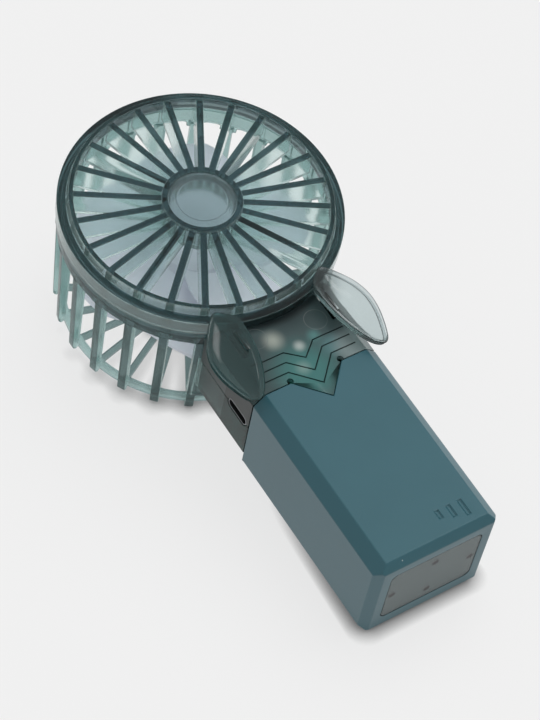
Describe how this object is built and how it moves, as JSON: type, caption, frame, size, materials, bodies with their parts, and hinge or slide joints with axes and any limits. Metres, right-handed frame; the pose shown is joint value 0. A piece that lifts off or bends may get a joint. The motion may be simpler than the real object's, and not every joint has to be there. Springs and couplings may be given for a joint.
{
  "type": "usb mini fan",
  "caption": "Hand-held mini fan: a round caged head with a finned front grille on a rectangular battery handle, charged through a side inlet and switched by a side button.",
  "frame": {"origin": "on the fan's axis, in the plane of the head's rear feet and hub plate", "axes": "+Z along the fan's axis, the way the air leaves; +X from the head towards the handle's end; the charging inlet faces -Y"},
  "size_m": [0.1604, 0.08, 0.0464],
  "materials": {
    "smoke_teal": "smoke-clear dark teal plastic, glossy",
    "smoke_clear": "smoke-clear grey-green plastic, glossy",
    "frosted_blue": "frosted light blue-grey clear plastic",
    "matte_teal": "satin blue-teal opaque plastic",
    "pearl": "pearly lilac-white translucent plastic",
    "plated_steel": "nickel-plated steel",
    "dark_ferrite": "dark grey bonded ferrite",
    "bronze": "sintered bronze",
    "lamination": "stacked steel laminations",
    "copper": "enamelled copper winding",
    "dark_board": "dark green-black circuit board",
    "green_board": "green circuit board",
    "dark_steel": "blackened steel screws",
    "grey_wire": "grey insulated wire",
    "red_wire": "red insulated wire",
    "black_plastic": "black moulded plastic",
    "white_plastic": "off-white moulded plastic",
    "dark_teal": "dark teal-grey moulded plastic",
    "can_aluminium": "drawn aluminium can",
    "cell_wrap": "silver-grey cell pouch",
    "black_foam": "black foam pad"
  },
  "bodies": {
    "housing": {"front_grille": "smoke_teal", "hub_cap": "frosted_blue", "rear_shell": "smoke_clear", "collar_front": "smoke_teal", "left_leaf": "smoke_teal", "right_leaf": "smoke_teal", "handle_sleeve": "matte_teal", "base_window": "smoke_clear", "front_bush": "bronze", "rear_bush": "bronze", "motor_bracket": "plated_steel", "stator_core": "lamination", "stator_coils": "copper", "motor_board": "dark_board", "motor_screws": "dark_steel", "motor_wires": "grey_wire", "main_board": "green_board", "usb_shell": "plated_steel", "usb_tongue": "black_plastic", "switch_body": "black_plastic", "controller_chip": "black_plastic", "charge_coil": "dark_ferrite", "capacitor": "can_aluminium", "battery_socket": "white_plastic", "status_lamps": "white_plastic", "battery_cell": "cell_wrap", "battery_tray": "dark_teal", "battery_cover": "dark_teal", "cell_pads": "black_foam", "battery_leads": "red_wire", "collar_screws": "dark_steel", "tray_screws": "dark_steel"},
    "rotor": {"impeller": "pearl", "rotor_cup": "plated_steel", "magnet_ring": "dark_ferrite", "motor_shaft": "plated_steel"},
    "button": {"power_button": "dark_teal", "switch_plunger": "white_plastic"}
  },
  "joints": [
    {"name": "fan_spin", "type": "hinge", "parent": "housing", "child": "rotor", "pos_m": [0, 0, 0.02], "axis": [0, 0, 1], "continuous": true},
    {"name": "button_press", "type": "slide", "parent": "housing", "child": "button", "axis": [0, -1, 0], "range_m": [0, 0.0006], "stiffness_N_per_m": 1500, "springref_m": -0.0002}
  ]
}
